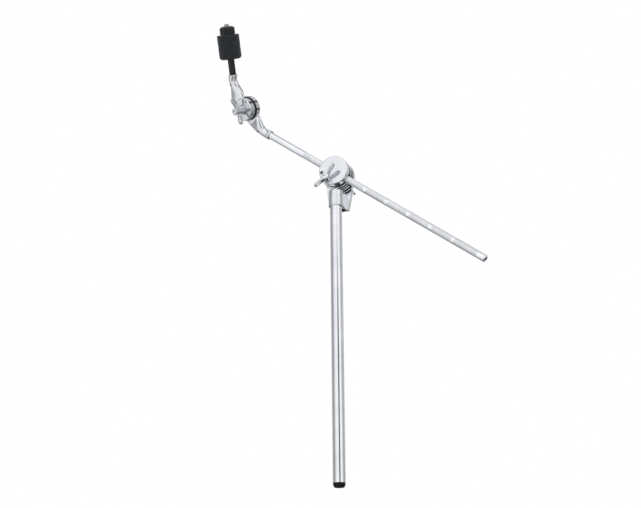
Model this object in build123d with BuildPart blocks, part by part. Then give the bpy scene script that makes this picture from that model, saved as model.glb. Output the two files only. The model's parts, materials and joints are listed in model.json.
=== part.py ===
from build123d import *
import os
from math import cos, sin, radians

# Cymbal boom stand: a straight post that drops into a tripod base, a tilting rod clamp on its top,
# a knurled boom rod through the clamp, and a second, smaller tilter that carries the cymbal seat.
# Origin: centre of the post tube's lower end.  +Z up the post, +X the way the boom's long end points,
# -Y the front, where the clamp's wing bolt is.

# ---- driving dimensions, millimetres ----
POST_RADIUS = 9.55          # 3/4 inch tube
POST_WALL = 1.2
SPIGOT_RADIUS = 9.2         # the tube's turned-down top, inside the socket
PIVOT_HEIGHT = 502.0        # tilt axis above the tube's lower end
BOOM_PITCH = 36.7           # boom rod below horizontal towards +X
ROD_RADIUS = 5.8
ROD_BORE_RADIUS = 2.6
ROD_TILTER_END = -172.0     # along the rod, from the tilt axis
ROD_FREE_END = 297.0
KNURL_START = -65.8
KNURL_END = 276.6
KNURL_DEPTH = 0.12
RING_PITCH = 43.3           # smooth setting rings along the knurl
RING_FIRST = 62.8
RING_COUNT = 5
RING_WIDTH = 5.0

CLAMP_RADIUS = 24.4
CAP_FRONT = 12.5            # heights along the tilt axis, + towards the front
CAP_BACK = 2.0
BODY_FRONT = -5.0
BODY_BACK = -15.5
HEAD_FRONT = -17.7
HEAD_BACK = -27.5
BUSH_RADIUS = 7.4
BUSH_HALF_LENGTH = 23.0
RUNNING = 0.05              # radial clearance where round parts turn or slide
FACE_GAP = 0.1              # axial gap between faces that turn on each other
CLAMP_BOLT_OFFSET = 17.0    # wing bolt's axis below the rod's axis
BOLT_RADIUS = 3.95          # M8
WING_BORE_DEPTH = 8.0       # how far a stud is pressed into its wing head
STUD_RADIUS = 2.95          # M6
GUIDE_PIN_PLACE = (-14.0, -13.2)
GUIDE_PIN_RADIUS = 2.5

SOCKET_RADIUS = 11.7
SOCKET_TOP = -32.0          # below the tilt axis
SOCKET_BOTTOM = -59.3
SPIGOT_LENGTH = SOCKET_TOP - SOCKET_BOTTOM - 5.0

TILTER_ROLL = 38.0          # the tilter's turn about the rod
TILTER_FOOT = -201.0        # along the rod, opposite the tilter's pivot
ARM_OFFSET = 21.7           # rod and stem axes from the tilter's pivot
ROD_ARM_LENGTH = 60.5       # end of each arm from its foot
STEM_ARM_LENGTH = 58.0
ARM_RADIUS = 7.3
TILTER_RADIUS = 20.6
TILTER_FRONT_RADIUS = 19.2
SHOULDER_RADIUS = 26.0      # each arm's full thickness starts here, clear of the other half's disc
TILTER_THICK = 11.0
STEM_ANGLE = 64.4           # stem from the rod's own line
STEM_RADIUS = 3.95
SPACER_RADIUS = 5.7
SEAT_LEVEL = 86.5           # heights along the stem from its foot
FELT_TOP = 124.3
FELT_RADIUS = 18.2
FELT_BORE_RADIUS = 5.7
NUT_BASE = 125.7
NUT_TOP = 138.5
NUT_RADIUS = 12.6
STEM_TOP = 144.9

# ---- directions and planes ----
pivot = Vector(0, 0, PIVOT_HEIGHT)
front = Vector(0, -1, 0)
rod_dir = Vector(cos(radians(BOOM_PITCH)), 0, -sin(radians(BOOM_PITCH)))
rod_up = Vector(sin(radians(BOOM_PITCH)), 0, cos(radians(BOOM_PITCH)))
clamp_face = Plane(origin=pivot, x_dir=rod_dir, z_dir=front)
post_face = Plane(origin=pivot, x_dir=(1, 0, 0), z_dir=front)
rod_axis = Plane(origin=pivot, x_dir=front, z_dir=rod_dir)

tilter_front = front * cos(radians(TILTER_ROLL)) - rod_up * sin(radians(TILTER_ROLL))
tilter_up = rod_up * cos(radians(TILTER_ROLL)) + front * sin(radians(TILTER_ROLL))
tilter_centre = pivot + rod_dir * TILTER_FOOT + tilter_up * ARM_OFFSET
stem_dir = tilter_up * sin(radians(STEM_ANGLE)) - rod_dir * cos(radians(STEM_ANGLE))
rod_side = Plane(origin=tilter_centre, x_dir=rod_dir, z_dir=tilter_front)
stem_side = Plane(origin=tilter_centre, x_dir=stem_dir, z_dir=tilter_front)
stem_foot = tilter_centre + tilter_front.cross(stem_dir) * ARM_OFFSET
stem_axis = Plane(origin=stem_foot, x_dir=tilter_front, z_dir=stem_dir)

os.makedirs("parts", exist_ok=True)


def save(builder, name):
    builder.part.label = name
    export_step(builder.part, f"parts/{name}.step")


def ring(name, plane, low, high, outer, inner, soften=0.0):
    """A turned ring or washer on a plane's axis, with softened outer edges."""
    with BuildPart() as turned:
        with BuildSketch(plane.offset(low)):
            Circle(outer)
            Circle(inner, mode=Mode.SUBTRACT)
        extrude(amount=high - low)
        if soften:
            rims = turned.edges().filter_by(GeomType.CIRCLE).filter_by(lambda e: e.radius > outer - 0.01)
            fillet(rims, soften)
    save(turned, name)


def turned_rod(name, plane, low, high, radius, end_chamfer):
    """A plain round bar on a plane's axis, chamfered at both ends."""
    with BuildPart() as bar:
        with BuildSketch(plane.offset(low)):
            Circle(radius)
        extrude(amount=high - low)
        chamfer(bar.edges().filter_by(GeomType.CIRCLE), end_chamfer)
    save(bar, name)


def wing_head(name, face, base, turn, stud_radius, reach=18.2, hub_height=12.0, bore=WING_BORE_DEPTH):
    """A cast wing head: a tapered hub with two swept, open-loop wings.  turn: degrees from face's x."""
    hub_low, hub_high = 7.0, 5.4
    wing_half = 1.8
    root_centre, tip_centre = (4.0, 6.5), (reach, 13.6)
    window_start, window_end = (reach - 6.6, 10.2), (reach - 0.2, 13.4)
    axis = face.z_dir
    along = face.x_dir * cos(radians(turn)) + face.y_dir * sin(radians(turn))
    foot = face.origin + axis * base
    hub_top = Plane(origin=foot + axis * hub_height, x_dir=along, z_dir=axis)
    blade = Plane(origin=foot, x_dir=along, z_dir=along.cross(axis)).offset(-wing_half)
    with BuildPart() as wing:
        with BuildSketch(blade):
            with Locations(root_centre):
                Circle(4.4)
            with Locations(tip_centre):
                Circle(4.7)
            make_hull()
        extrude(amount=2 * wing_half)
        with BuildSketch(blade):
            with Locations(window_start):
                Circle(1.7)
            with Locations(window_end):
                Circle(2.1)
            make_hull()
        extrude(amount=2 * wing_half, mode=Mode.SUBTRACT)
        fillet(wing.faces().filter_by(GeomType.PLANE).sort_by(SortBy.AREA)[-2:].edges(), 0.8)
    with BuildPart() as head:
        with BuildSketch(Plane(origin=foot, x_dir=along, z_dir=axis)):
            Circle(hub_low)
        with BuildSketch(hub_top):
            Circle(hub_high)
        loft()
        chamfer(head.faces().sort_by(Axis(foot, axis))[-1].edges(), 0.7)
        add(wing.part)
        add(wing.part.rotate(Axis(foot, axis), 180))
        with BuildSketch(hub_top):
            Circle(hub_high - 2.6)
        extrude(amount=-2.5, mode=Mode.SUBTRACT)
        with BuildSketch(Plane(origin=foot, x_dir=along, z_dir=axis)):
            Circle(stud_radius)
        extrude(amount=bore, mode=Mode.SUBTRACT)
    save(head, name)


# ---- post ----
roll_pin = Plane(origin=(0, 13.1, PIVOT_HEIGHT - 48.0), x_dir=(1, 0, 0), z_dir=front)
ROLL_PIN_RADIUS = 1.6
ROLL_PIN_LENGTH = 5.2

with BuildPart() as post_tube:
    with BuildSketch(Plane.XY):
        Circle(POST_RADIUS)
        Circle(POST_RADIUS - POST_WALL, mode=Mode.SUBTRACT)
    extrude(amount=PIVOT_HEIGHT + SOCKET_BOTTOM)
    with BuildSketch(Plane.XY.offset(PIVOT_HEIGHT + SOCKET_BOTTOM)):
        Circle(SPIGOT_RADIUS)
        Circle(POST_RADIUS - POST_WALL, mode=Mode.SUBTRACT)
    extrude(amount=SPIGOT_LENGTH)
    with BuildSketch(roll_pin):
        Circle(ROLL_PIN_RADIUS)
    extrude(amount=ROLL_PIN_LENGTH, mode=Mode.SUBTRACT)
save(post_tube, "post_tube")

with BuildPart() as post_end_cap:
    cap_height = 6.4
    plug_depth = 12.0
    with BuildSketch(Plane.XZ):
        with BuildLine():
            Polyline(
                (0, -cap_height), (POST_RADIUS - 1.9, -cap_height), (POST_RADIUS - 0.3, -cap_height + 3.4),
                (POST_RADIUS - 0.05, 0), (POST_RADIUS - POST_WALL, 0), (POST_RADIUS - POST_WALL, plug_depth),
                (POST_RADIUS - POST_WALL - 1.6, plug_depth), (POST_RADIUS - POST_WALL - 1.6, 0.8),
                (0, 0.8), (0, -cap_height),
            )
        make_face()
    revolve(axis=Axis.Z)
    fillet(post_end_cap.edges().filter_by(lambda e: e.center().Z < -2.5 and e.length > 20), 0.5)
save(post_end_cap, "post_end_cap")

# ---- base casting: socket on the post, web behind it, round head on the tilt axis ----
with BuildPart() as base_casting:
    head_radius = CLAMP_RADIUS + 0.3
    with BuildSketch(post_face.offset(HEAD_BACK)):
        Circle(head_radius)
    extrude(amount=HEAD_FRONT - HEAD_BACK)
    with BuildSketch(post_face.offset(HEAD_BACK)):
        with BuildLine():
            Polyline(
                (-22.2, -9.0), (-20.4, -31.0), (-14.6, SOCKET_BOTTOM), (14.6, SOCKET_BOTTOM),
                (20.4, -31.0), (22.2, -9.0), close=True,
            )
        make_face()
    extrude(amount=HEAD_FRONT - HEAD_BACK)
    fillet(base_casting.edges().filter_by(lambda e: abs(e.center().Z - PIVOT_HEIGHT + 31) < 1
                                          and abs(e.center().X) > 20 and e.length < 10), 6)
    rear_rims = base_casting.faces().sort_by(Axis.Y)[-1].edges()
    fillet(rear_rims, 2.0)
    with BuildSketch(Plane.XY.offset(PIVOT_HEIGHT + SOCKET_BOTTOM)):
        Circle(SOCKET_RADIUS)
        with Locations((0, 11.0)):
            Rectangle(2 * SOCKET_RADIUS, 22.0)
    extrude(amount=SOCKET_TOP - SOCKET_BOTTOM)
    socket_top = base_casting.faces().filter_by(Axis.Z).sort_by(Axis.Z)[-1].edges()
    fillet(socket_top.filter_by(lambda e: e.center().Y < 16.9), 2.6)
    with BuildSketch(Plane.XY.offset(PIVOT_HEIGHT + SOCKET_BOTTOM)):
        Circle(SPIGOT_RADIUS)
    extrude(amount=SPIGOT_LENGTH, mode=Mode.SUBTRACT)
    with BuildSketch(Plane.XY.offset(PIVOT_HEIGHT + SOCKET_BOTTOM)):
        with Locations((0, 18.6)):
            RectangleRounded(19.0, 11.0, 3.0)
    extrude(amount=19.0, mode=Mode.SUBTRACT)
    with BuildSketch(post_face.offset(HEAD_BACK)):
        Circle(BOLT_RADIUS + RUNNING)
    extrude(amount=HEAD_FRONT - HEAD_BACK, mode=Mode.SUBTRACT)
    chamfer(base_casting.edges().filter_by(GeomType.CIRCLE).filter_by(
        lambda e: abs(e.center().Z - PIVOT_HEIGHT - SOCKET_BOTTOM) < 0.1
        and abs(e.radius - SPIGOT_RADIUS) < 0.01), 0.9)
    with BuildSketch(roll_pin.offset(-0.1)):
        Circle(ROLL_PIN_RADIUS)
    extrude(amount=ROLL_PIN_LENGTH, mode=Mode.SUBTRACT)
save(base_casting, "base_casting")

# roll pin through the socket and the tube's wall, driven in from the web's hollow
turned_rod("post_roll_pin", roll_pin, 0.0, ROLL_PIN_LENGTH, ROLL_PIN_RADIUS, 0.3)

# ---- tilt joint: bolt, friction washer, and the wing nut at the back ----
ring("tilt_friction_washer", clamp_face, HEAD_FRONT + FACE_GAP, BODY_BACK - FACE_GAP,
     CLAMP_RADIUS - 0.6, BOLT_RADIUS + 0.15, 0.4)

BOLT_HEAD_TOP = -8.0
BOLT_HEAD_HEIGHT = 5.3
with BuildPart() as tilt_pivot_bolt:
    with BuildSketch(clamp_face.offset(BOLT_HEAD_TOP - BOLT_HEAD_HEIGHT)):
        RegularPolygon(6.5, 6, major_radius=False)
    extrude(amount=BOLT_HEAD_HEIGHT)
    with BuildSketch(clamp_face.offset(BOLT_HEAD_TOP - BOLT_HEAD_HEIGHT)):
        Circle(BOLT_RADIUS)
    extrude(amount=-31.0)
    chamfer(tilt_pivot_bolt.edges().filter_by(GeomType.CIRCLE).sort_by(Axis.Y)[-1], 0.9)
save(tilt_pivot_bolt, "tilt_pivot_bolt")

TILT_WASHER_BACK = HEAD_BACK - FACE_GAP - 2.0
ring("tilt_nut_washer", clamp_face, TILT_WASHER_BACK, HEAD_BACK - FACE_GAP, 11.0, BOLT_RADIUS + 0.2, 0.5)
tilt_back = Plane(origin=pivot, x_dir=(1, 0, 0), z_dir=(0, 1, 0))
wing_head("tilt_wing_nut", tilt_back, FACE_GAP - TILT_WASHER_BACK, 51.0, BOLT_RADIUS + RUNNING, reach=25.5,
          bore=20.0)

# ---- rod clamp ----
bolt_place = (0, -CLAMP_BOLT_OFFSET)
with BuildPart() as clamp_body:
    with BuildSketch(clamp_face.offset(BODY_FRONT - 2.6)):
        Circle(CLAMP_RADIUS)
    extrude(amount=2.6)
    fillet(clamp_body.edges().filter_by(GeomType.CIRCLE), 0.6)
    with BuildSketch(clamp_face.offset(BODY_BACK + 2.6)):
        RectangleRounded(2 * 16.2, 2 * 23.6, 5.0)
    extrude(amount=BODY_FRONT - BODY_BACK - 4.6)
    with BuildSketch(clamp_face.offset(BODY_BACK)):
        Circle(CLAMP_RADIUS - 0.5)
    extrude(amount=2.6)
    fillet(clamp_body.edges().filter_by(GeomType.CIRCLE).sort_by(Axis.Y)[-1], 0.6)
    with BuildSketch(rod_axis.offset(-30)):
        Circle(BUSH_RADIUS + RUNNING)
    extrude(amount=60, mode=Mode.SUBTRACT)
    with BuildSketch(clamp_face.offset(BOLT_HEAD_TOP - BOLT_HEAD_HEIGHT)):
        RegularPolygon(6.55, 6, major_radius=False)
    extrude(amount=20, mode=Mode.SUBTRACT)
    with BuildSketch(clamp_face.offset(BODY_BACK)):
        Circle(BOLT_RADIUS + RUNNING)
    extrude(amount=5, mode=Mode.SUBTRACT)
    with BuildSketch(clamp_face.offset(BODY_BACK + 1.5)):
        with Locations(bolt_place):
            Circle(STUD_RADIUS + RUNNING)
        with Locations(GUIDE_PIN_PLACE):
            Circle(GUIDE_PIN_RADIUS)
    extrude(amount=20, mode=Mode.SUBTRACT)
save(clamp_body, "clamp_body")

PIN_FRONT = 7.0
turned_rod("clamp_guide_pin", Plane(origin=clamp_face.from_local_coords((*GUIDE_PIN_PLACE, 0)),
                                    x_dir=rod_dir, z_dir=front), BODY_BACK + 1.5, PIN_FRONT,
           GUIDE_PIN_RADIUS, 0.6)

# rubber pads in the gap, one each side of the rod; they spring the cap open
with BuildPart() as clamp_gap_pads:
    with BuildSketch(clamp_face.offset(BODY_FRONT)):
        Circle(CLAMP_RADIUS - 1.0)
        Rectangle(60, 2 * (BUSH_RADIUS + 0.8), mode=Mode.SUBTRACT)
        with Locations(bolt_place):
            Circle(STUD_RADIUS + 0.4, mode=Mode.SUBTRACT)
        with Locations(GUIDE_PIN_PLACE):
            Circle(GUIDE_PIN_RADIUS + 0.2, mode=Mode.SUBTRACT)
    extrude(amount=CAP_BACK - BODY_FRONT - FACE_GAP)
save(clamp_gap_pads, "clamp_gap_pads")

with BuildPart() as clamp_cap:
    with BuildSketch(clamp_face.offset(CAP_BACK)):
        Circle(CLAMP_RADIUS)
    extrude(amount=CAP_FRONT - CAP_BACK)
    fillet(clamp_cap.edges().sort_by(Axis.Y)[0], 1.6)
    fillet(clamp_cap.edges().filter_by(GeomType.CIRCLE).sort_by(Axis.Y)[-1], 0.5)
    with BuildSketch(rod_axis.offset(-30)):
        Circle(BUSH_RADIUS + RUNNING)
    extrude(amount=60, mode=Mode.SUBTRACT)
    with BuildSketch(clamp_face.offset(CAP_BACK)):
        with Locations(bolt_place):
            Circle(STUD_RADIUS + 0.3)
        with Locations(GUIDE_PIN_PLACE):
            Circle(GUIDE_PIN_RADIUS + 0.08)
    extrude(amount=20, mode=Mode.SUBTRACT)
    with BuildSketch(clamp_face.offset(PIN_FRONT)):
        with Locations(GUIDE_PIN_PLACE):
            Circle(GUIDE_PIN_RADIUS + 0.6)
    extrude(amount=20, mode=Mode.SUBTRACT)
save(clamp_cap, "clamp_cap")

clamp_bolt_face = Plane(origin=clamp_face.from_local_coords((*bolt_place, 0)), x_dir=rod_dir, z_dir=front)
WASHER_THICK = 1.2
ring("clamp_bolt_washer", clamp_bolt_face, CAP_FRONT, CAP_FRONT + WASHER_THICK, 6.8, STUD_RADIUS + 0.3, 0.3)
clamp_wing_base = CAP_FRONT + WASHER_THICK + FACE_GAP
wing_head("clamp_wing_head", clamp_bolt_face, clamp_wing_base, 84.0, STUD_RADIUS, reach=19.3)
turned_rod("clamp_wing_stud", clamp_bolt_face, BODY_BACK + 3.0, clamp_wing_base + WING_BORE_DEPTH,
           STUD_RADIUS, 0.5)

ring("rod_bush", rod_axis, -BUSH_HALF_LENGTH, BUSH_HALF_LENGTH, BUSH_RADIUS, ROD_RADIUS + RUNNING, 0.3)

# ---- cross pins that hold the rod and the stem in their castings ----
PIN_RADIUS = 1.5
ROD_PIN_ALONG = 37.5        # from the foot of the arm
STEM_PIN_ALONG = 41.5
PIN_LEAN = 18.2


def pin_plane(face, side, along):
    """Radial plane on an arm's axis, its normal leaning from the joint's front towards the outside."""
    centre = face.from_local_coords((along, side * ARM_OFFSET, 0))
    outward = face.z_dir * cos(radians(PIN_LEAN)) + face.y_dir * (side * sin(radians(PIN_LEAN)))
    return Plane(origin=centre, x_dir=face.x_dir, z_dir=outward)


rod_pin = pin_plane(rod_side, -1, ROD_PIN_ALONG)
stem_pin = pin_plane(stem_side, 1, STEM_PIN_ALONG)

# ---- boom rod: smooth ends, knurl between, smooth setting rings along the knurl ----
with BuildPart() as boom_rod:
    with BuildSketch(rod_axis.offset(ROD_TILTER_END)):
        Circle(ROD_RADIUS)
        Circle(ROD_BORE_RADIUS, mode=Mode.SUBTRACT)
    extrude(amount=ROD_FREE_END - ROD_TILTER_END)
    outer_ends = boom_rod.edges().filter_by(GeomType.CIRCLE).filter_by(lambda e: e.radius > 5)
    fillet(outer_ends, 1.5)
    chamfer(boom_rod.edges().filter_by(GeomType.CIRCLE).filter_by(lambda e: e.radius < 3), 0.6)
    ring_starts = [RING_FIRST + RING_PITCH * i - RING_WIDTH / 2 for i in range(RING_COUNT)]
    band_starts = [KNURL_START] + [start + RING_WIDTH for start in ring_starts]
    band_ends = ring_starts + [KNURL_END]
    for band_start, band_end in zip(band_starts, band_ends):
        with BuildSketch(rod_axis.offset(band_start)):
            Circle(ROD_RADIUS + 1)
            Circle(ROD_RADIUS - KNURL_DEPTH, mode=Mode.SUBTRACT)
        extrude(amount=band_end - band_start, mode=Mode.SUBTRACT)
    with BuildSketch(rod_pin):
        Circle(PIN_RADIUS)
    extrude(amount=ROD_RADIUS + 1, mode=Mode.SUBTRACT)
save(boom_rod, "boom_rod")


# ---- tilter castings: a half-thick disc and an offset gooseneck arm that ends in a round socket ----
def tilter_casting(name, face, side, facing, disc_radius, length, bore, bore_depth, pin):
    """side: which side of the disc the arm is on; facing: +1 front half, -1 back half of the joint."""
    tube_axis = Plane(origin=face.from_local_coords((0, side * ARM_OFFSET, 0)), x_dir=face.z_dir,
                      z_dir=face.x_dir)
    inner = 1.6
    disc_mid = facing * (inner + TILTER_THICK) / 2
    with BuildPart() as arm:
        for along, off, lift, wide, thick in (
            (-3.0, 11.0, disc_mid, 11.0, 4.4), (13.0, 13.6, facing * 4.2, 12.2, 5.8),
            (28.0, 15.4, facing * 1.2, 12.6, 7.0), (35.0, 18.2, 0.0, 10.0, ARM_RADIUS),
            (44.0, ARM_OFFSET, 0.0, ARM_RADIUS, ARM_RADIUS + 0.01),
            (length - 3.0, ARM_OFFSET, 0.0, ARM_RADIUS, ARM_RADIUS + 0.01),
        ):
            centre = face.from_local_coords((along, side * off, lift))
            with BuildSketch(Plane(origin=centre, x_dir=face.y_dir, z_dir=face.x_dir)):
                Ellipse(wide, thick)
        loft()
    with BuildPart() as casting:
        add(arm.part)
        with BuildSketch(face):
            Circle(SHOULDER_RADIUS)
        extrude(amount=-facing * 20, mode=Mode.SUBTRACT)
        with BuildSketch(face):
            Circle(TILTER_RADIUS + 0.8)
        extrude(amount=facing * inner, mode=Mode.SUBTRACT)
        with BuildSketch(face.offset(facing * inner)):
            Circle(disc_radius)
        extrude(amount=facing * (TILTER_THICK - inner), taper=3)
        outer_rim = casting.edges().filter_by(GeomType.CIRCLE).filter_by(
            lambda e: abs(face.to_local_coords(e.center()).Z - facing * TILTER_THICK) < 0.05)
        fillet(outer_rim, 1.4)
        with BuildSketch(tube_axis.offset(length - 3.2)):
            Circle(ARM_RADIUS + 0.45)
        extrude(amount=3.2)
        fillet(casting.edges().filter_by(GeomType.CIRCLE).sort_by(Axis(face.origin, face.x_dir))[-1], 0.7)
        with BuildSketch(tube_axis.offset(length)):
            Circle(bore)
        extrude(amount=-bore_depth, mode=Mode.SUBTRACT)
        with BuildSketch(face):
            Circle(BOLT_RADIUS + RUNNING)
        extrude(amount=facing * 20, mode=Mode.SUBTRACT)
        with BuildSketch(pin):
            Circle(PIN_RADIUS)
        extrude(amount=ARM_RADIUS + 2, mode=Mode.SUBTRACT)
        if facing < 0:
            with BuildSketch(face.offset(-TILTER_THICK - 1)):
                RegularPolygon(6.6, 6, major_radius=False)
            extrude(amount=6.2, mode=Mode.SUBTRACT)
    save(casting, name)


tilter_casting("rod_holder", rod_side, -1, -1, TILTER_RADIUS, ROD_ARM_LENGTH, ROD_RADIUS + 0.02,
               ROD_ARM_LENGTH - (ROD_TILTER_END - TILTER_FOOT), rod_pin)
STEM_DEPTH = 28.0           # how far the stem goes into its arm
tilter_casting("stem_holder", stem_side, 1, 1, TILTER_FRONT_RADIUS, STEM_ARM_LENGTH, STEM_RADIUS + 0.02,
               STEM_DEPTH, stem_pin)

turned_rod("rod_holder_pin", rod_pin, ROD_BORE_RADIUS, ARM_RADIUS + 0.6, PIN_RADIUS, 0.3)
turned_rod("stem_holder_pin", stem_pin, 1.0, ARM_RADIUS + 0.3, PIN_RADIUS, 0.3)

# ---- tilter's joint: friction washer, captive nut, wing bolt ----
ring("tilter_friction_washer", rod_side, -1.5, 1.5, TILTER_RADIUS - 0.4, BOLT_RADIUS + 0.15, 0.3)

with BuildPart() as tilter_nut:
    with BuildSketch(rod_side.offset(-TILTER_THICK - 1)):
        RegularPolygon(6.5, 6, major_radius=False)
        Circle(BOLT_RADIUS + RUNNING, mode=Mode.SUBTRACT)
    extrude(amount=6.1)
save(tilter_nut, "tilter_nut")

ring("tilter_bolt_washer", rod_side, TILTER_THICK + FACE_GAP, TILTER_THICK + 1.3, 8.6, BOLT_RADIUS + 0.2, 0.3)
tilter_wing_base = TILTER_THICK + 1.4
wing_head("tilter_wing_head", stem_side, tilter_wing_base, 17.9, BOLT_RADIUS, hub_height=21.0)
turned_rod("tilter_wing_stud", rod_side, -TILTER_THICK - 2.5, tilter_wing_base + WING_BORE_DEPTH,
           BOLT_RADIUS, 0.6)

# ---- cymbal seat ----
with BuildPart() as cymbal_stem:
    with BuildSketch(stem_axis.offset(STEM_ARM_LENGTH - STEM_DEPTH)):
        Circle(STEM_RADIUS)
    extrude(amount=STEM_TOP - STEM_ARM_LENGTH + STEM_DEPTH)
    chamfer(cymbal_stem.edges().filter_by(GeomType.CIRCLE), 0.8)
    with BuildSketch(stem_pin.offset(1.0)):
        Circle(PIN_RADIUS)
    extrude(amount=10, mode=Mode.SUBTRACT)
save(cymbal_stem, "cymbal_stem")

SEAT_THICK = 2.0
SEAT_RADIUS = 17.0
ring("stem_spacer", stem_axis, STEM_ARM_LENGTH + FACE_GAP, SEAT_LEVEL - SEAT_THICK, SPACER_RADIUS,
     STEM_RADIUS + RUNNING, 0.4)
ring("seat_washer", stem_axis, SEAT_LEVEL - SEAT_THICK, SEAT_LEVEL, SEAT_RADIUS, STEM_RADIUS + RUNNING, 0.6)
felt_middle = (SEAT_LEVEL + FELT_TOP) / 2
ring("cymbal_sleeve", stem_axis, SEAT_LEVEL, FELT_TOP - 1.5, FELT_BORE_RADIUS - 0.5, STEM_RADIUS + RUNNING, 0.4)
ring("lower_felt", stem_axis, SEAT_LEVEL, felt_middle, FELT_RADIUS, FELT_BORE_RADIUS, 1.5)
ring("upper_felt", stem_axis, felt_middle, FELT_TOP, FELT_RADIUS, FELT_BORE_RADIUS, 1.5)
ring("felt_washer", stem_axis, FELT_TOP + FACE_GAP, NUT_BASE - FACE_GAP, 12.0, STEM_RADIUS + 0.3, 0.3)

# ---- cymbal nut: ribbed black knob on a threaded brass insert ----
NUT_RIBS = 16
INSERT_RADIUS = 5.6
with BuildPart() as cymbal_nut:
    with BuildSketch(stem_axis.offset(NUT_BASE)):
        Circle(NUT_RADIUS)
        with PolarLocations(NUT_RADIUS + 0.9, NUT_RIBS):
            Circle(1.7, mode=Mode.SUBTRACT)
    extrude(amount=NUT_TOP - NUT_BASE)
    with BuildSketch(Plane(origin=stem_foot, x_dir=tilter_front, z_dir=tilter_front.cross(stem_dir))):
        with BuildLine():
            Polyline((NUT_RADIUS + 2, NUT_TOP - 3.4), (NUT_RADIUS - 4.4, NUT_TOP + 0.01),
                     (NUT_RADIUS + 2, NUT_TOP + 0.01), close=True)
        make_face()
    revolve(axis=Axis(stem_foot, stem_dir), mode=Mode.SUBTRACT)
    with BuildSketch(stem_axis.offset(NUT_BASE)):
        Circle(INSERT_RADIUS)
    extrude(amount=NUT_TOP - NUT_BASE, mode=Mode.SUBTRACT)
save(cymbal_nut, "cymbal_nut")

ring("nut_insert", stem_axis, NUT_BASE, NUT_TOP - 0.6, INSERT_RADIUS, STEM_RADIUS + RUNNING, 0.3)
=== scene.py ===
import json
import math

import bmesh
import bpy
from mathutils import Matrix, Vector, noise


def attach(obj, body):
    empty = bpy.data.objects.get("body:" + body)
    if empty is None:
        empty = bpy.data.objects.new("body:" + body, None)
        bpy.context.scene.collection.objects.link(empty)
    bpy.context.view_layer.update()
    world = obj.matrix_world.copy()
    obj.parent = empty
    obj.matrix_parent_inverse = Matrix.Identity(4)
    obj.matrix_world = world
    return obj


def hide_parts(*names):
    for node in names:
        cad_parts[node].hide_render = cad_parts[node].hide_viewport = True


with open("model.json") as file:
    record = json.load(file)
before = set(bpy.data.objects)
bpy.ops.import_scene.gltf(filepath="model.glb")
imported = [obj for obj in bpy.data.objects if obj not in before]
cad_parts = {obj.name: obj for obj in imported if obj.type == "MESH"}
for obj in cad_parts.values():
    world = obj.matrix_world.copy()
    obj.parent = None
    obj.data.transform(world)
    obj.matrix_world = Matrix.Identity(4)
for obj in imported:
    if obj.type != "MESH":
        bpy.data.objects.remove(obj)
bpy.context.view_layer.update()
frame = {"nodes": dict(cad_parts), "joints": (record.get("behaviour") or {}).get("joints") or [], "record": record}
joints = {j["name"]: j for j in frame["joints"]}

# ---------------------------------------------------------------- frame of the object, from its joints
pivot = Vector(joints["boom_tilt"]["pos_m"])
rod_dir = Vector(joints["rod_slide"]["axis"]).normalized()
stem_foot = Vector(joints["nut_turn"]["pos_m"])
stem_dir = Vector(joints["nut_turn"]["axis"]).normalized()


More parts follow.
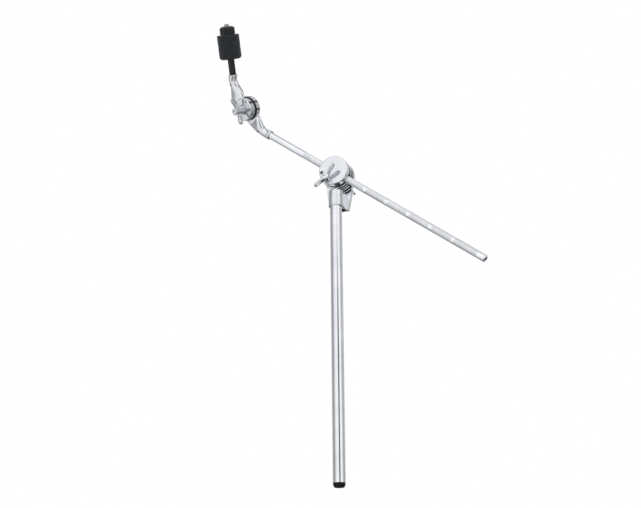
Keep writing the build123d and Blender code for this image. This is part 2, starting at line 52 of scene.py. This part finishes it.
# ---------------------------------------------------------------- node materials
class Shader:
    """A Principled material with small helpers for its procedural inputs."""

    def __init__(self, name, color, metallic, roughness, specular=0.5):
        self.mat = bpy.data.materials.new(name)
        self.mat.use_nodes = True
        self.tree = self.mat.node_tree
        self.bsdf = self.tree.nodes["Principled BSDF"]
        self.bsdf.inputs["Base Color"].default_value = (*color, 1)
        self.bsdf.inputs["Metallic"].default_value = metallic
        self.bsdf.inputs["Roughness"].default_value = roughness
        self.bsdf.inputs["Specular IOR Level"].default_value = specular
        self.coords = self.tree.nodes.new("ShaderNodeTexCoord").outputs["Object"]
        self.height = None

    def node(self, kind, **settings):
        made = self.tree.nodes.new(kind)
        for key, value in settings.items():
            setattr(made, key, value)
        return made

    def link(self, a, b):
        self.tree.links.new(a, b)

    def mapped(self, scale=(1, 1, 1), along=None):
        """Coordinates stretched by scale; with along, the third axis runs that way."""
        mapping = self.node("ShaderNodeMapping")
        if along is not None:
            turn = self.node("ShaderNodeMapping")
            turn.inputs["Rotation"].default_value = along.to_track_quat("Z", "Y").inverted().to_euler()
            self.link(self.coords, turn.inputs["Vector"])
            self.link(turn.outputs["Vector"], mapping.inputs["Vector"])
        else:
            self.link(self.coords, mapping.inputs["Vector"])
        mapping.inputs["Scale"].default_value = scale
        return mapping.outputs["Vector"]

    def noise(self, vector, scale, detail=4.0, rough=0.55):
        made = self.node("ShaderNodeTexNoise")
        self.link(vector, made.inputs["Vector"])
        made.inputs["Scale"].default_value = scale
        made.inputs["Detail"].default_value = detail
        made.inputs["Roughness"].default_value = rough
        return made.outputs["Fac"]

    def voronoi(self, vector, scale, feature="F1"):
        made = self.node("ShaderNodeTexVoronoi", feature=feature)
        self.link(vector, made.inputs["Vector"])
        made.inputs["Scale"].default_value = scale
        return made.outputs["Distance"]

    def ranged(self, value, low, high, from_low=0.3, from_high=0.7):
        made = self.node("ShaderNodeMapRange")
        self.link(value, made.inputs["Value"])
        made.inputs["From Min"].default_value = from_low
        made.inputs["From Max"].default_value = from_high
        made.inputs["To Min"].default_value = low
        made.inputs["To Max"].default_value = high
        return made.outputs["Result"]

    def tint(self, value, low_color, high_color, low=0.3, high=0.7):
        ramp = self.node("ShaderNodeValToRGB")
        ramp.color_ramp.elements[0].position = low
        ramp.color_ramp.elements[0].color = (*low_color, 1)
        ramp.color_ramp.elements[1].position = high
        ramp.color_ramp.elements[1].color = (*high_color, 1)
        self.link(value, ramp.inputs["Fac"])
        self.link(ramp.outputs["Color"], self.bsdf.inputs["Base Color"])

    def rough(self, value, low, high):
        self.link(self.ranged(value, low, high), self.bsdf.inputs["Roughness"])

    def bump(self, value, distance, strength=1.0):
        """Adds a height field of that depth in metres on top of those before it."""
        made = self.node("ShaderNodeBump")
        made.inputs["Distance"].default_value = distance
        made.inputs["Strength"].default_value = strength
        self.link(value, made.inputs["Height"])
        if self.height is not None:
            self.link(self.height, made.inputs["Normal"])
        self.height = made.outputs["Normal"]
        self.link(self.height, self.bsdf.inputs["Normal"])


CHROME_DARK, CHROME_LIGHT = (0.725, 0.745, 0.785), (0.85, 0.865, 0.90)


def scaled_color(color, factor):
    return tuple(min(1, c * factor) for c in color)


def chrome(name, along, waviness, lines, tone=1.0):
    """Bright plate: faint haze and wipe marks, a soft waviness, and polishing lines along an axis."""
    s = Shader(name, (0.80, 0.81, 0.83), 1.0, 0.06)
    haze = s.noise(s.mapped(), 38.0, 5.0, 0.6)
    # tone scales the plate's colour; the casting takes a darker copy of it as painted shade
    s.tint(haze, scaled_color(CHROME_DARK, tone), scaled_color(CHROME_LIGHT, tone))
    scuffs = s.noise(s.mapped((900, 900, 60), along), 1.0, 3.0, 0.7)
    s.rough(scuffs, 0.035, 0.10)
    s.bump(s.noise(s.mapped(), 60.0, 2.0, 0.4), waviness)
    s.bump(scuffs, lines)
    s.bump(s.voronoi(s.mapped(), 1400.0), 0.0000015, 0.5)
    return s.mat


def plated(name, color=(0.60, 0.61, 0.63)):
    """Zinc-plated turned steel: satin, with fine turning marks and slight colour drift."""
    s = Shader(name, color, 1.0, 0.28)
    drift = s.noise(s.mapped(), 160.0, 4.0, 0.6)
    s.tint(drift, scaled_color(color, 0.86), scaled_color(color, 1.1))
    s.rough(s.noise(s.mapped(), 420.0, 3.0), 0.20, 0.38)
    s.bump(s.noise(s.mapped(), 2600.0, 2.0), 0.000012)
    return s.mat


def black_moulded(name, color, rough, grain=2600.0, depth=0.00002, specular=0.45):
    """Black moulded plastic or rubber: fine mould texture, handling shine on patches."""
    s = Shader(name, color, 0.0, rough[0], specular)
    patch = s.noise(s.mapped(), 90.0, 4.0)
    s.tint(patch, scaled_color(color, 0.75), scaled_color(color, 1.5))
    s.rough(patch, *rough)
    s.bump(s.noise(s.mapped(), grain, 3.0, 0.6), depth)
    s.bump(s.voronoi(s.mapped(), grain * 0.6), depth * 0.6, 0.6)
    return s.mat


def felt_material(name):
    """Pressed black wool felt: tangled fibres, pills and a soft sheen."""
    s = Shader(name, (0.020, 0.022, 0.026), 0.0, 0.9, 0.3)
    s.bsdf.inputs["Sheen Weight"].default_value = 0.6
    s.bsdf.inputs["Sheen Roughness"].default_value = 0.45
    s.bsdf.inputs["Sheen Tint"].default_value = (0.42, 0.45, 0.52, 1)
    tangle = s.noise(s.mapped((1, 1, 1.8), stem_dir), 1500.0, 6.0, 0.75)
    layers = s.noise(s.mapped((0.25, 0.25, 3.0), stem_dir), 420.0, 5.0, 0.7)
    both = s.node("ShaderNodeMath", operation="MULTIPLY")
    s.link(tangle, both.inputs[0])
    s.link(layers, both.inputs[1])
    s.tint(both.outputs[0], (0.005, 0.006, 0.007), (0.058, 0.067, 0.076), 0.14, 0.42)
    s.bump(layers, 0.0004)
    s.bump(tangle, 0.00022)
    s.bump(s.noise(s.mapped(), 420.0, 3.0, 0.6), 0.00035)
    s.bump(s.voronoi(s.mapped(), 2100.0), 0.0001, 0.7)
    return s.mat


def brass_material(name):
    """Turned brass: satin, with slight tarnish."""
    s = Shader(name, (0.72, 0.55, 0.27), 1.0, 0.25)
    tone = s.noise(s.mapped(), 220.0, 4.0)
    s.tint(tone, (0.56, 0.41, 0.18), (0.80, 0.63, 0.33))
    s.rough(tone, 0.18, 0.34)
    s.bump(s.noise(s.mapped(), 2200.0, 2.0), 0.00001)
    return s.mat


POST_DIR = Vector((0, 0, 1))
finishes = {
    "chrome_plate": chrome("chrome_tube", POST_DIR, 0.000002, 0.0000008),
    # the casting's chrome is darker all over: painted shade for the dark reflections in its hollows
    "cast_chrome": chrome("chrome_casting", POST_DIR, 0.0001, 0.000001, 0.93),
    "knurled_steel": chrome("chrome_rod", rod_dir, 0.000002, 0.000001, 1.1),
    "plated_steel": plated("zinc_plated"),
    "black_nylon": black_moulded("nylon", (0.009, 0.010, 0.013), (0.20, 0.32)),
    "black_knob": black_moulded("knob_plastic", (0.008, 0.009, 0.012), (0.18, 0.30), 1900.0, 0.000012),
    "black_rubber": black_moulded("rubber", (0.007, 0.009, 0.009), (0.45, 0.65), 3200.0, 0.00003, 0.2),
    "black_felt": felt_material("felt"),
    "brass": brass_material("turned_brass"),
}
blackened = plated("blackened_pin", (0.035, 0.035, 0.04))
DARK_PINS = ("rod_holder_pin", "stem_holder_pin", "clamp_guide_pin")
slot_of = {sub["node"]: sub["material_slot"] for sub in frame["record"]["subparts"]}
for name, node in frame["nodes"].items():
    node.data.materials.clear()
    node.data.materials.append(blackened if name in DARK_PINS else finishes[slot_of[name]])
    node.data.polygons.foreach_set("use_smooth", [True] * len(node.data.polygons))

# ---------------------------------------------------------------- meshes turned about an axis
def axis_frame(axis):
    """Two unit vectors square to an axis, the first one level."""
    level = Vector((0, 0, 1)).cross(axis).normalized()
    return level, axis.cross(level)


def turned_mesh(name, origin, axis, rows, sides, slot, body, replaced, pyramids=False):
    """A closed ring of rows about an axis.  Each row is a function of the side number: (along, radius)."""
    across, upward = axis_frame(axis)
    count = len(rows)
    points = []
    for row in rows:
        for side in range(sides):
            along, radius = row(side)
            angle = 2 * math.pi * side / sides
            outward = across * math.cos(angle) + upward * math.sin(angle)
            points.append(origin + axis * along + outward * radius)
    faces = []
    for low in range(count):
        high = (low + 1) % count
        for side in range(sides):
            after = (side + 1) % sides
            a, b = low * sides + side, low * sides + after
            d, c = high * sides + side, high * sides + after
            if not pyramids:
                faces.append((a, b, c, d))
            elif (low + side) % 2:
                faces += [(a, b, c), (a, c, d)]
            else:
                faces += [(a, b, d), (b, c, d)]
    mesh = bpy.data.meshes.new(name)
    mesh.from_pydata(points, [], faces)
    mesh.validate()
    piece = bpy.data.objects.new(name, mesh)
    bpy.context.scene.collection.objects.link(piece)
    mesh.materials.append(finishes[slot])
    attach(piece, body)
    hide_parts(replaced)
    return piece


def plain(along, radius):
    return lambda side: (along, radius)


def smooth_by_angle(piece, degrees):
    """Smooth shading that keeps edges sharper than the angle."""
    mesh = piece.data
    bm = bmesh.new()
    bm.from_mesh(mesh)
    bmesh.ops.recalc_face_normals(bm, faces=bm.faces)
    for face in bm.faces:
        face.smooth = True
    for edge in bm.edges:
        if len(edge.link_faces) == 2 and edge.calc_face_angle(0) > math.radians(degrees):
            edge.smooth = False
    bm.to_mesh(mesh)
    bm.free()


# ---------------------------------------------------------------- boom rod: diamond knurl and smooth rings
ROD_RADIUS = 0.0058
ROD_BORE = 0.0026
ROD_START, ROD_END = -0.172, 0.297
KNURL_START, KNURL_END = -0.0658, 0.2820
RING_FIRST, RING_PITCH, RING_WIDTH, RING_COUNT = 0.0628, 0.0433, 0.005, 5
KNURL_ROW = 0.0006            # half a diamond along the rod
KNURL_SIDES = 60              # half diamonds round the rod
KNURL_PEAK, KNURL_VALLEY = ROD_RADIUS - 0.00002, ROD_RADIUS - 0.00019
END_ROUND = 0.0015
FAR_END_ROUND = 0.0024
END_STEPS = 6


def knurl_rows(start, end):
    """Rows of alternating peaks and valleys; the crossing valleys make two sets of helical grooves."""
    count = max(2, 2 * round((end - start) / KNURL_ROW / 2))
    rows = []
    for i in range(count + 1):
        along = start + (end - start) * i / count
        fade = min(1.0, 0.35 + 0.5 * min(i, count - i))

        def row(side, along=along, i=i, fade=fade):
            depth = 0.0 if (i + side) % 2 == 0 else (KNURL_VALLEY - KNURL_PEAK) * fade
            return along, KNURL_PEAK + depth
        rows.append(row)
    return rows


def rounded_end(end, size):
    """Rows of a rounded rim, from the end face outwards; a negative size is for the other end."""
    turns = [math.pi / 2 * i / END_STEPS for i in range(END_STEPS + 1)]
    outer = ROD_RADIUS - abs(size)
    return [plain(end + size * (1 - math.cos(t)), outer + abs(size) * math.sin(t)) for t in turns]


def rod_rows():
    rows = rounded_end(ROD_START, END_ROUND)
    lip = 0.0003
    rows.append(plain(KNURL_START - lip, ROD_RADIUS))
    starts = [RING_FIRST + RING_PITCH * i - RING_WIDTH / 2 for i in range(RING_COUNT)]
    band_starts = [KNURL_START] + [start + RING_WIDTH for start in starts]
    band_ends = starts + [KNURL_END]
    for start, end in zip(band_starts, band_ends):
        rows += knurl_rows(start, end)
        if end != KNURL_END:
            rows += [plain(end + lip, ROD_RADIUS), plain(end + RING_WIDTH - lip, ROD_RADIUS)]
    rows.append(plain(KNURL_END + lip, ROD_RADIUS))
    rows += rounded_end(ROD_END, -FAR_END_ROUND)[::-1]
    mouth = 0.0006
    rows += [plain(ROD_END, ROD_BORE + mouth), plain(ROD_END - mouth, ROD_BORE),
             plain(ROD_START + mouth, ROD_BORE), plain(ROD_START, ROD_BORE + mouth)]
    return rows


rod = turned_mesh("boom_rod_knurled", pivot, rod_dir, rod_rows(), KNURL_SIDES, "knurled_steel",
                  "rod", "boom_rod", pyramids=True)
smooth_by_angle(rod, 14)

# ---------------------------------------------------------------- threaded stem
STEM_RADIUS = 0.00395
STEM_LOW, STEM_HIGH = 0.030, 0.1425
THREAD_START = 0.1120
THREAD_PITCH = 0.00125
THREAD_DEPTH = 0.00055
THREAD_SIDES = 48
THREAD_STEPS = 10             # rows to a pitch


def thread_rows(start, end, radius, root):
    count = round((end - start) / THREAD_PITCH * THREAD_STEPS)
    rows = []
    for i in range(count + 1):
        along = start + (end - start) * i / count
        run_out = min(1.0, i / THREAD_STEPS, (count - i) / (0.6 * THREAD_STEPS))

        def row(side, along=along, run_out=run_out):
            phase = (along / THREAD_PITCH - side / THREAD_SIDES) % 1.0
            flank = min(1.0, max(0.0, 1.25 - abs(2 * phase - 1) * 1.5))
            return along, radius - (radius - root) * (1 - flank) * run_out
        rows.append(row)
    return rows


def stem_rows():
    chamfer = 0.0008
    tip = STEM_RADIUS - chamfer
    rows = [plain(STEM_LOW, 0.0002), plain(STEM_LOW, tip), plain(STEM_LOW + chamfer, STEM_RADIUS),
            plain(THREAD_START - 0.0002, STEM_RADIUS)]
    rows += thread_rows(THREAD_START, STEM_HIGH - chamfer, STEM_RADIUS, STEM_RADIUS - THREAD_DEPTH)
    rows += [plain(STEM_HIGH, tip), plain(STEM_HIGH, 0.0002)]
    return rows


stem = turned_mesh("cymbal_stem_threaded", stem_foot, stem_dir, stem_rows(), THREAD_SIDES, "plated_steel",
                   "stem", "cymbal_stem")
smooth_by_angle(stem, 40)

# ---------------------------------------------------------------- felts
FELT_LOW, FELT_HIGH = 0.0865, 0.1243
FELT_RADIUS, FELT_BORE = 0.0186, 0.0057
FELT_SIDES = 220
FELT_WALL_ROWS = 44
FELT_FACE_ROWS = 22
FELT_ROUND = 0.0011
FELT_BARREL = 0.0001
FELT_DISH = 0.0004
FELT_BORE_ROWS = 8


def felt_outline(low, high):
    """Outline of a pressed felt ring: slightly barrel-shaped wall, rounded rims, faces dished inwards."""
    middle, half = (low + high) / 2, (high - low) / 2
    outline = []
    for i in range(FELT_WALL_ROWS + 1):
        t = math.pi * (i / FELT_WALL_ROWS - 0.5)
        height = math.copysign(abs(math.sin(t)) ** 0.62, math.sin(t))
        into_rim = max(0.0, abs(height) - (1 - FELT_ROUND / half)) / (FELT_ROUND / half)
        rim = FELT_ROUND * (1 - math.sqrt(max(0.0, 1 - into_rim ** 2)))
        outline.append((middle + height * half, FELT_RADIUS + FELT_BARREL * (1 - height ** 2) - rim))
    face_edge = FELT_RADIUS - FELT_ROUND
    inwards = [i / FELT_FACE_ROWS for i in range(1, FELT_FACE_ROWS + 1)]
    outline += [(high - FELT_DISH * t ** 4, face_edge + (FELT_BORE - face_edge) * t) for t in inwards]
    for i in range(1, FELT_BORE_ROWS):
        t = i / FELT_BORE_ROWS
        outline.append((high - FELT_DISH + (low - high + 2 * FELT_DISH) * t, FELT_BORE))
    outline += [(low + FELT_DISH * t ** 4, face_edge + (FELT_BORE - face_edge) * t) for t in inwards[::-1]]
    return outline


def felt_pad(name, low, high, replaced, seed):
    """One felt: layers of pressed wool, with lumps and short matted fibres in the surface itself."""
    outline = felt_outline(low, high)
    offset = Vector((seed * 3.7, seed * 1.9, seed * 5.3))

    def felt_row(along, radius):
        def row(side):
            angle = 2 * math.pi * side / FELT_SIDES
            at = Vector((radius * math.cos(angle), radius * math.sin(angle), along)) * 1000
            lumps = noise.noise(at * 0.22 + offset) * 0.00022
            layers = noise.noise(Vector((at.x * 0.12, at.y * 0.12, at.z * 1.3)) + offset) * 0.00016
            fibres = noise.fractal(at * 1.6 + offset, 0.8, 2.1, 3) * 0.00012
            outer = max(0.0, min(1.0, (radius - FELT_BORE) / 0.002))
            swell = (lumps + layers + fibres) * outer - 0.00018 * outer
            rise = noise.noise(at * 0.9 - offset) * 0.00006 * outer
            return along + rise, radius + swell
        return row

    pad = turned_mesh(name, stem_foot, stem_dir, [felt_row(*place) for place in outline], FELT_SIDES,
                      "black_felt", "stem", replaced)
    smooth_by_angle(pad, 60)
    return pad


felt_middle = (FELT_LOW + FELT_HIGH) / 2
felt_pad("lower_felt_pad", FELT_LOW, felt_middle, "lower_felt", 1)
felt_pad("upper_felt_pad", felt_middle, FELT_HIGH, "upper_felt", 2)

# ---------------------------------------------------------------- floor, surroundings, light, camera
FLOOR_LEVEL = -1.55
FLOOR_RADIUS = 14.0
FLOOR_SIDES = 96
floor_turns = [2 * math.pi * i / FLOOR_SIDES for i in range(FLOOR_SIDES)]
floor_rim = [(FLOOR_RADIUS * math.cos(t), FLOOR_RADIUS * math.sin(t), FLOOR_LEVEL) for t in floor_turns]
floor_mesh = bpy.data.meshes.new("floor")
floor_mesh.from_pydata(floor_rim, [], [list(range(FLOOR_SIDES))])
floor = bpy.data.objects.new("floor", floor_mesh)
bpy.context.scene.collection.objects.link(floor)
paper = Shader("pale_floor", (0.86, 0.86, 0.86), 0.0, 0.9, 0.1)
paper.tint(paper.noise(paper.mapped(), 3.0, 3.0), (0.84, 0.84, 0.84), (0.88, 0.88, 0.88))
floor_mesh.materials.append(paper.mat)
floor.visible_glossy = False

world = bpy.data.worlds.new("studio")
bpy.context.scene.world = world
world.use_nodes = True
wt = world.node_tree
wt.nodes.clear()


def wnode(kind, **settings):
    made = wt.nodes.new(kind)
    for key, value in settings.items():
        setattr(made, key, value)
    return made


def wmath(operation, a, b):
    made = wnode("ShaderNodeMath", operation=operation)
    for socket, value in zip(made.inputs, (a, b)):
        if isinstance(value, (int, float)):
            socket.default_value = value
        else:
            wt.links.new(value, socket)
    return made.outputs[0]


# brightness of the surroundings that the metal mirrors: by azimuth (0 is the front) level with the object
# and below it, and by elevation
LEVEL_ROUND = ((-180, 0.50), (-120, 0.48), (-91, 0.46), (-68, 0.33), (-46, 0.82), (-26, 1.06), (10, 1.10),
               (30, 0.96), (47, 1.00), (66, 1.22), (86, 0.78), (106, 0.48), (135, 0.66), (180, 0.50))
LOW_ROUND = ((-180, 0.25), (-130, 0.30), (-100, 0.42), (-67, 0.88), (-40, 1.0), (40, 1.0), (75, 0.6),
             (110, 0.25), (180, 0.25))
UP_AND_DOWN = ((-90, 0.25), (-60, 0.45), (-30, 0.90), (-20, 1.0), (20, 1.0), (42, 1.10), (58, 0.90),
               (76, 0.62), (90, 0.60))
# a dark upright shape low in front, which the post mirrors as a strip
DARK_SHAPE_AZIMUTH, DARK_SHAPE_HALF_WIDTH, DARK_SHAPE_TOP = 31.0, 17.0, 22.0
DARK_SHAPE_STRENGTH = 0.90
# dark boards away from the lights: azimuth and elevation of the middle, half sizes in both, strength
DARK_BOARDS = (
    (-5, -46, 24, 12, 0.92), (105, 50, 16, 12, 0.85), (-112, 48, 22, 13, 0.80), (62, 44, 12, 9, 0.85),
    (72, -16, 13, 13, 0.88), (126, -34, 22, 13, 0.88), (-62, 52, 13, 10, 0.80), (128, 4, 7, 12, 0.85))
BOARD_EDGE = 0.45             # where a board's soft edge starts, of the square of its half size


def brightness_ramp(value, stops, low, high):
    ramp = wnode("ShaderNodeValToRGB")
    scaled = wnode("ShaderNodeMapRange")
    wt.links.new(value, scaled.inputs["Value"])
    scaled.inputs["From Min"].default_value = low
    scaled.inputs["From Max"].default_value = high
    wt.links.new(scaled.outputs["Result"], ramp.inputs["Fac"])
    elements = ramp.color_ramp.elements
    while len(elements) < len(stops):
        elements.new(0.5)
    for element, (degrees, level) in zip(elements, stops):
        element.position = (math.radians(degrees) - low) / (high - low)
        element.color = (level, level, level, 1)
    return ramp.outputs["Color"]


direction = wnode("ShaderNodeSeparateXYZ")
wt.links.new(wnode("ShaderNodeTexCoord").outputs["Generated"], direction.inputs[0])
azimuth = wmath("ARCTAN2", direction.outputs["X"], wmath("MULTIPLY", direction.outputs["Y"], -1.0))
elevation = wmath("ARCSINE", direction.outputs["Z"], 0.0)
level_round = brightness_ramp(azimuth, LEVEL_ROUND, -math.pi, math.pi)
low_round = brightness_ramp(azimuth, LOW_ROUND, -math.pi, math.pi)
upright = brightness_ramp(elevation, UP_AND_DOWN, -math.pi / 2, math.pi / 2)


def wstep(value, start, end, rising=True):
    made = wnode("ShaderNodeMapRange", interpolation_type="SMOOTHSTEP")
    wt.links.new(value, made.inputs["Value"])
    made.inputs["From Min"].default_value = start
    made.inputs["From Max"].default_value = end
    made.inputs["To Min"].default_value = 0.0 if rising else 1.0
    made.inputs["To Max"].default_value = 1.0 if rising else 0.0
    return made.outputs["Result"]


def wmix(factor, low, high):
    made = wnode("ShaderNodeMix", data_type="FLOAT")
    wt.links.new(factor, made.inputs[0])
    for socket, value in ((made.inputs[2], low), (made.inputs[3], high)):
        if isinstance(value, (int, float)):
            socket.default_value = value
        else:
            wt.links.new(value, socket)
    return made.outputs[0]


sideways = wmix(wstep(elevation, math.radians(-14), math.radians(8)), low_round, level_round)
# overhead, the azimuth stops mattering
even = wmix(wstep(direction.outputs["Z"], 0.80, 0.98), sideways, 1.0)
aside = wmath("ABSOLUTE", wmath("SUBTRACT", azimuth, math.radians(DARK_SHAPE_AZIMUTH)), 0.0)
across_shape = wstep(aside, math.radians(0.3 * DARK_SHAPE_HALF_WIDTH), math.radians(DARK_SHAPE_HALF_WIDTH),
                     rising=False)
up_shape = wstep(elevation, math.radians(DARK_SHAPE_TOP - 6), math.radians(DARK_SHAPE_TOP), rising=False)
down_shape = wstep(elevation, math.radians(-20), math.radians(-8))
shape = wmath("MULTIPLY", wmath("MULTIPLY", across_shape, up_shape), down_shape)
shade = wmath("SUBTRACT", 1.0, wmath("MULTIPLY", shape, DARK_SHAPE_STRENGTH))
for board_azimuth, board_elevation, half_across, half_up, strength in DARK_BOARDS:
    across = wmath("SUBTRACT", azimuth, math.radians(board_azimuth))
    across = wmath("DIVIDE", across, math.radians(half_across))
    upwards = wmath("SUBTRACT", elevation, math.radians(board_elevation))
    upwards = wmath("DIVIDE", upwards, math.radians(half_up))
    off = wmath("ADD", wmath("MULTIPLY", across, across), wmath("MULTIPLY", upwards, upwards))
    board = wmath("MULTIPLY", wstep(off, BOARD_EDGE, 1.0, rising=False), strength)
    shade = wmath("MULTIPLY", shade, wmath("SUBTRACT", 1.0, board))
total = wmath("MULTIPLY", wmath("MULTIPLY", even, upright), shade)
studio = wnode("ShaderNodeBackground")
wt.links.new(total, studio.inputs["Color"])
backdrop = wnode("ShaderNodeBackground")
backdrop.inputs["Color"].default_value = (1, 1, 1, 1)
backdrop.inputs["Strength"].default_value = 1.0
choice = wnode("ShaderNodeMixShader")
wt.links.new(wnode("ShaderNodeLightPath").outputs["Is Camera Ray"], choice.inputs["Fac"])
wt.links.new(studio.outputs["Background"], choice.inputs[1])
wt.links.new(backdrop.outputs["Background"], choice.inputs[2])
wt.links.new(choice.outputs["Shader"], wnode("ShaderNodeOutputWorld").inputs["Surface"])

# ---------------------------------------------------------------- camera below the clamp, looking up
CAMERA_RIGHT = Vector((0.94625, 0.32337, -0.00693))
CAMERA_UP = Vector((0.11620, -0.31986, 0.94031))
CAMERA_BACK = Vector((0.30185, -0.89057, -0.34025))
CAMERA_AIM = Vector((0, 0, 0.5066))
CAMERA_DISTANCE = 2.0815
LENS_MM = 72.14
camera_data = bpy.data.cameras.new("camera")
camera_data.sensor_width = 36.0
camera_data.lens = LENS_MM
camera = bpy.data.objects.new("camera", camera_data)
bpy.context.scene.collection.objects.link(camera)
place = CAMERA_AIM - 0.0244 * CAMERA_RIGHT - 0.1359 * CAMERA_UP + CAMERA_DISTANCE * CAMERA_BACK
turn = Matrix((CAMERA_RIGHT, CAMERA_UP, CAMERA_BACK)).transposed().to_4x4()
camera.matrix_world = Matrix.Translation(place) @ turn
bpy.context.scene.camera = camera
bpy.context.scene.view_settings.view_transform = "Standard"
